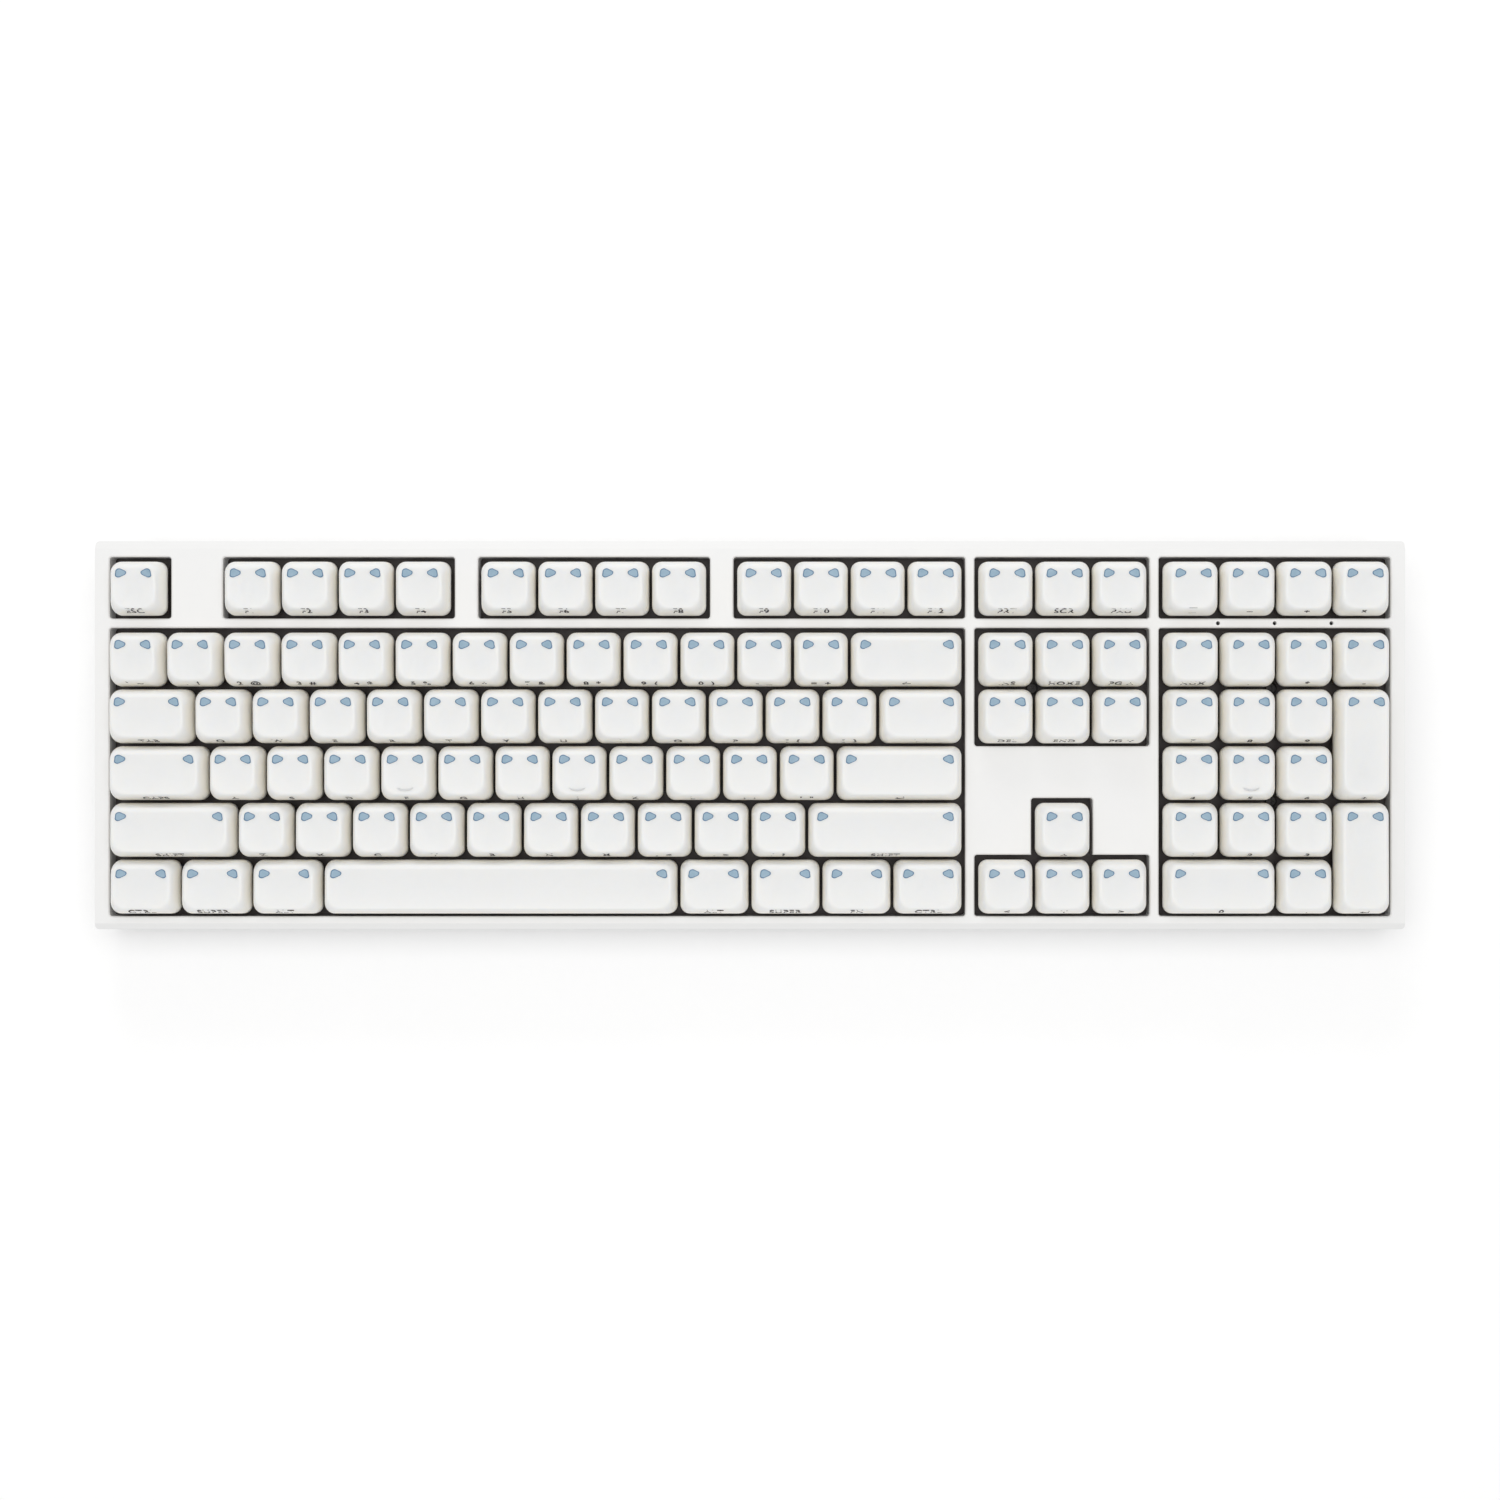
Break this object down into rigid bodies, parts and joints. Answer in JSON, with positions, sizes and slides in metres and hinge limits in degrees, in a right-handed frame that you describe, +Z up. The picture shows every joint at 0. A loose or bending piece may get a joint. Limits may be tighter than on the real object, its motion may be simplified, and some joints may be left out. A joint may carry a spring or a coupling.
{
  "type": "mechanical keyboard",
  "caption": "Full-size mechanical keyboard: wedge-shaped white case, sprung keys with dished caps, flip-out rear feet.",
  "frame": {"origin": "middle of the footprint, on the surface that the pads rest on", "axes": "+X along the width to the right, +Y from the user to the rear, +Z up"},
  "size_m": [0.44, 0.1331, 0.0406],
  "materials": {
    "case_white": "satin moulded plastic",
    "keycap_ivory": "fine-grained matte plastic",
    "mark_blue": "dyed mark, matte",
    "legend_grey": "dyed legend, matte",
    "plate_dark": "powder coat",
    "board_black": "solder mask",
    "switch_black": "moulded",
    "spring_steel": "drawn wire",
    "contact_brass": "stamped",
    "screw_steel": "zinc plated",
    "lamp_clear": "clear epoxy",
    "chip_black": "moulded epoxy",
    "socket_steel": "drawn shell",
    "rubber_grey": "matte rubber"
  },
  "bodies": {
    "case": {"top_case": "case_white", "bottom_case": "case_white", "switch_plate": "plate_dark", "circuit_board": "board_black", "switch_bases": "switch_black", "switch_covers": "switch_black", "switch_springs": "spring_steel", "switch_contacts": "contact_brass", "stabilizer_housings": "switch_black", "stabilizer_wires": "spring_steel", "plate_screws": "screw_steel", "case_screws": "screw_steel", "indicator_lamps": "lamp_clear", "diodes": "chip_black", "controller_chip": "chip_black", "usb_socket": "socket_steel", "front_pads": "rubber_grey", "rear_pads": "rubber_grey"},
    "left_foot": {"left_flip_foot": "case_white", "left_foot_tip": "rubber_grey"},
    "right_foot": {"right_flip_foot": "case_white", "right_foot_tip": "rubber_grey"},
    "escape_key": {"escape_key": "keycap_ivory"},
    "function_keys_1_to_4": {"function_keys_1_to_4": "keycap_ivory"},
    "function_keys_5_to_8": {"function_keys_5_to_8": "keycap_ivory"},
    "function_keys_9_to_12": {"function_keys_9_to_12": "keycap_ivory"},
    "system_keys": {"system_keys": "keycap_ivory"},
    "media_keys": {"media_keys": "keycap_ivory"},
    "digit_row_keys": {"digit_row_keys": "keycap_ivory"},
    "backspace_key": {"backspace_key": "keycap_ivory"},
    "tab_key": {"tab_key": "keycap_ivory"},
    "upper_letter_keys": {"upper_letter_keys": "keycap_ivory"},
    "backslash_key": {"backslash_key": "keycap_ivory"},
    "caps_lock_key": {"caps_lock_key": "keycap_ivory"},
    "home_letter_keys": {"home_letter_keys": "keycap_ivory"},
    "enter_key": {"enter_key": "keycap_ivory"},
    "left_shift_key": {"left_shift_key": "keycap_ivory"},
    "lower_letter_keys": {"lower_letter_keys": "keycap_ivory"},
    "right_shift_key": {"right_shift_key": "keycap_ivory"},
    "navigation_keys": {"navigation_keys": "keycap_ivory"},
    "arrow_up_key": {"arrow_up_key": "keycap_ivory"},
    "arrow_left_key": {"arrow_left_key": "keycap_ivory"},
    "arrow_down_key": {"arrow_down_key": "keycap_ivory"},
    "arrow_right_key": {"arrow_right_key": "keycap_ivory"},
    "numpad_plus_key": {"numpad_plus_key": "keycap_ivory"},
    "numpad_enter_key": {"numpad_enter_key": "keycap_ivory"},
    "numpad_zero_key": {"numpad_zero_key": "keycap_ivory"},
    "left_ctrl_key": {"left_ctrl_key": "keycap_ivory"},
    "left_super_key": {"left_super_key": "keycap_ivory"},
    "left_alt_key": {"left_alt_key": "keycap_ivory"},
    "space_bar": {"space_bar": "keycap_ivory"},
    "right_alt_key": {"right_alt_key": "keycap_ivory"},
    "right_super_key": {"right_super_key": "keycap_ivory"},
    "fn_key": {"fn_key": "keycap_ivory"},
    "right_ctrl_key": {"right_ctrl_key": "keycap_ivory"},
    "numpad_keys": {"numpad_keys": "keycap_ivory"}
  },
  "joints": [
    {"name": "left_foot_fold", "type": "hinge", "parent": "case", "child": "left_foot", "pos_m": [-0.15, 0.054, 0.0045], "axis": [1, 0, 0], "range_deg": [0, 105]},
    {"name": "right_foot_fold", "type": "hinge", "parent": "case", "child": "right_foot", "pos_m": [0.15, 0.054, 0.0045], "axis": [1, 0, 0], "range_deg": [0, 105]},
    {"name": "space_bar_press", "type": "slide", "parent": "case", "child": "space_bar", "axis": [0, 0.1045, -0.9945], "range_m": [0, 0.004], "stiffness_N_per_m": 75, "springref_m": -0.004, "deforming": ["switch_springs"]},
    {"name": "enter_key_press", "type": "slide", "parent": "case", "child": "enter_key", "axis": [0, 0.1045, -0.9945], "range_m": [0, 0.004], "stiffness_N_per_m": 75, "springref_m": -0.004, "deforming": ["switch_springs"]},
    {"name": "home_letter_keys_press", "type": "slide", "parent": "case", "child": "home_letter_keys", "axis": [0, 0.1045, -0.9945], "range_m": [0, 0.004], "stiffness_N_per_m": 825, "springref_m": -0.004, "deforming": ["switch_springs"]},
    {"name": "digit_row_keys_press", "type": "slide", "parent": "case", "child": "digit_row_keys", "axis": [0, 0.1045, -0.9945], "range_m": [0, 0.004], "stiffness_N_per_m": 975, "springref_m": -0.004, "deforming": ["switch_springs"]},
    {"name": "upper_letter_keys_press", "type": "slide", "parent": "case", "child": "upper_letter_keys", "axis": [0, 0.1045, -0.9945], "range_m": [0, 0.004], "stiffness_N_per_m": 900, "springref_m": -0.004, "deforming": ["switch_springs"]},
    {"name": "lower_letter_keys_press", "type": "slide", "parent": "case", "child": "lower_letter_keys", "axis": [0, 0.1045, -0.9945], "range_m": [0, 0.004], "stiffness_N_per_m": 750, "springref_m": -0.004, "deforming": ["switch_springs"]},
    {"name": "escape_key_press", "type": "slide", "parent": "case", "child": "escape_key", "axis": [0, 0.1045, -0.9945], "range_m": [0, 0.004], "stiffness_N_per_m": 75, "springref_m": -0.004, "deforming": ["switch_springs"]},
    {"name": "left_shift_key_press", "type": "slide", "parent": "case", "child": "left_shift_key", "axis": [0, 0.1045, -0.9945], "range_m": [0, 0.004], "stiffness_N_per_m": 75, "springref_m": -0.004, "deforming": ["switch_springs"]},
    {"name": "right_shift_key_press", "type": "slide", "parent": "case", "child": "right_shift_key", "axis": [0, 0.1045, -0.9945], "range_m": [0, 0.004], "stiffness_N_per_m": 75, "springref_m": -0.004, "deforming": ["switch_springs"]},
    {"name": "backspace_key_press", "type": "slide", "parent": "case", "child": "backspace_key", "axis": [0, 0.1045, -0.9945], "range_m": [0, 0.004], "stiffness_N_per_m": 75, "springref_m": -0.004, "deforming": ["switch_springs"]},
    {"name": "numpad_keys_press", "type": "slide", "parent": "case", "child": "numpad_keys", "axis": [0, 0.1045, -0.9945], "range_m": [0, 0.004], "stiffness_N_per_m": 1050, "springref_m": -0.004, "deforming": ["switch_springs"]},
    {"name": "numpad_plus_key_press", "type": "slide", "parent": "case", "child": "numpad_plus_key", "axis": [0, 0.1045, -0.9945], "range_m": [0, 0.004], "stiffness_N_per_m": 75, "springref_m": -0.004, "deforming": ["switch_springs"]},
    {"name": "numpad_enter_key_press", "type": "slide", "parent": "case", "child": "numpad_enter_key", "axis": [0, 0.1045, -0.9945], "range_m": [0, 0.004], "stiffness_N_per_m": 75, "springref_m": -0.004, "deforming": ["switch_springs"]},
    {"name": "numpad_zero_key_press", "type": "slide", "parent": "case", "child": "numpad_zero_key", "axis": [0, 0.1045, -0.9945], "range_m": [0, 0.004], "stiffness_N_per_m": 75, "springref_m": -0.004, "deforming": ["switch_springs"]},
    {"name": "navigation_keys_press", "type": "slide", "parent": "case", "child": "navigation_keys", "axis": [0, 0.1045, -0.9945], "range_m": [0, 0.004], "stiffness_N_per_m": 450, "springref_m": -0.004, "deforming": ["switch_springs"]},
    {"name": "media_keys_press", "type": "slide", "parent": "case", "child": "media_keys", "axis": [0, 0.1045, -0.9945], "range_m": [0, 0.004], "stiffness_N_per_m": 300, "springref_m": -0.004, "deforming": ["switch_springs"]},
    {"name": "system_keys_press", "type": "slide", "parent": "case", "child": "system_keys", "axis": [0, 0.1045, -0.9945], "range_m": [0, 0.004], "stiffness_N_per_m": 225, "springref_m": -0.004, "deforming": ["switch_springs"]},
    {"name": "function_keys_1_to_4_press", "type": "slide", "parent": "case", "child": "function_keys_1_to_4", "axis": [0, 0.1045, -0.9945], "range_m": [0, 0.004], "stiffness_N_per_m": 300, "springref_m": -0.004, "deforming": ["switch_springs"]},
    {"name": "function_keys_5_to_8_press", "type": "slide", "parent": "case", "child": "function_keys_5_to_8", "axis": [0, 0.1045, -0.9945], "range_m": [0, 0.004], "stiffness_N_per_m": 300, "springref_m": -0.004, "deforming": ["switch_springs"]},
    {"name": "function_keys_9_to_12_press", "type": "slide", "parent": "case", "child": "function_keys_9_to_12", "axis": [0, 0.1045, -0.9945], "range_m": [0, 0.004], "stiffness_N_per_m": 300, "springref_m": -0.004, "deforming": ["switch_springs"]},
    {"name": "arrow_up_key_press", "type": "slide", "parent": "case", "child": "arrow_up_key", "axis": [0, 0.1045, -0.9945], "range_m": [0, 0.004], "stiffness_N_per_m": 75, "springref_m": -0.004, "deforming": ["switch_springs"]},
    {"name": "arrow_left_key_press", "type": "slide", "parent": "case", "child": "arrow_left_key", "axis": [0, 0.1045, -0.9945], "range_m": [0, 0.004], "stiffness_N_per_m": 75, "springref_m": -0.004, "deforming": ["switch_springs"]},
    {"name": "arrow_down_key_press", "type": "slide", "parent": "case", "child": "arrow_down_key", "axis": [0, 0.1045, -0.9945], "range_m": [0, 0.004], "stiffness_N_per_m": 75, "springref_m": -0.004, "deforming": ["switch_springs"]},
    {"name": "arrow_right_key_press", "type": "slide", "parent": "case", "child": "arrow_right_key", "axis": [0, 0.1045, -0.9945], "range_m": [0, 0.004], "stiffness_N_per_m": 75, "springref_m": -0.004, "deforming": ["switch_springs"]},
    {"name": "tab_key_press", "type": "slide", "parent": "case", "child": "tab_key", "axis": [0, 0.1045, -0.9945], "range_m": [0, 0.004], "stiffness_N_per_m": 75, "springref_m": -0.004, "deforming": ["switch_springs"]},
    {"name": "caps_lock_key_press", "type": "slide", "parent": "case", "child": "caps_lock_key", "axis": [0, 0.1045, -0.9945], "range_m": [0, 0.004], "stiffness_N_per_m": 75, "springref_m": -0.004, "deforming": ["switch_springs"]},
    {"name": "backslash_key_press", "type": "slide", "parent": "case", "child": "backslash_key", "axis": [0, 0.1045, -0.9945], "range_m": [0, 0.004], "stiffness_N_per_m": 75, "springref_m": -0.004, "deforming": ["switch_springs"]},
    {"name": "left_ctrl_key_press", "type": "slide", "parent": "case", "child": "left_ctrl_key", "axis": [0, 0.1045, -0.9945], "range_m": [0, 0.004], "stiffness_N_per_m": 75, "springref_m": -0.004, "deforming": ["switch_springs"]},
    {"name": "left_super_key_press", "type": "slide", "parent": "case", "child": "left_super_key", "axis": [0, 0.1045, -0.9945], "range_m": [0, 0.004], "stiffness_N_per_m": 75, "springref_m": -0.004, "deforming": ["switch_springs"]},
    {"name": "left_alt_key_press", "type": "slide", "parent": "case", "child": "left_alt_key", "axis": [0, 0.1045, -0.9945], "range_m": [0, 0.004], "stiffness_N_per_m": 75, "springref_m": -0.004, "deforming": ["switch_springs"]},
    {"name": "right_alt_key_press", "type": "slide", "parent": "case", "child": "right_alt_key", "axis": [0, 0.1045, -0.9945], "range_m": [0, 0.004], "stiffness_N_per_m": 75, "springref_m": -0.004, "deforming": ["switch_springs"]},
    {"name": "right_super_key_press", "type": "slide", "parent": "case", "child": "right_super_key", "axis": [0, 0.1045, -0.9945], "range_m": [0, 0.004], "stiffness_N_per_m": 75, "springref_m": -0.004, "deforming": ["switch_springs"]},
    {"name": "fn_key_press", "type": "slide", "parent": "case", "child": "fn_key", "axis": [0, 0.1045, -0.9945], "range_m": [0, 0.004], "stiffness_N_per_m": 75, "springref_m": -0.004, "deforming": ["switch_springs"]},
    {"name": "right_ctrl_key_press", "type": "slide", "parent": "case", "child": "right_ctrl_key", "axis": [0, 0.1045, -0.9945], "range_m": [0, 0.004], "stiffness_N_per_m": 75, "springref_m": -0.004, "deforming": ["switch_springs"]}
  ]
}
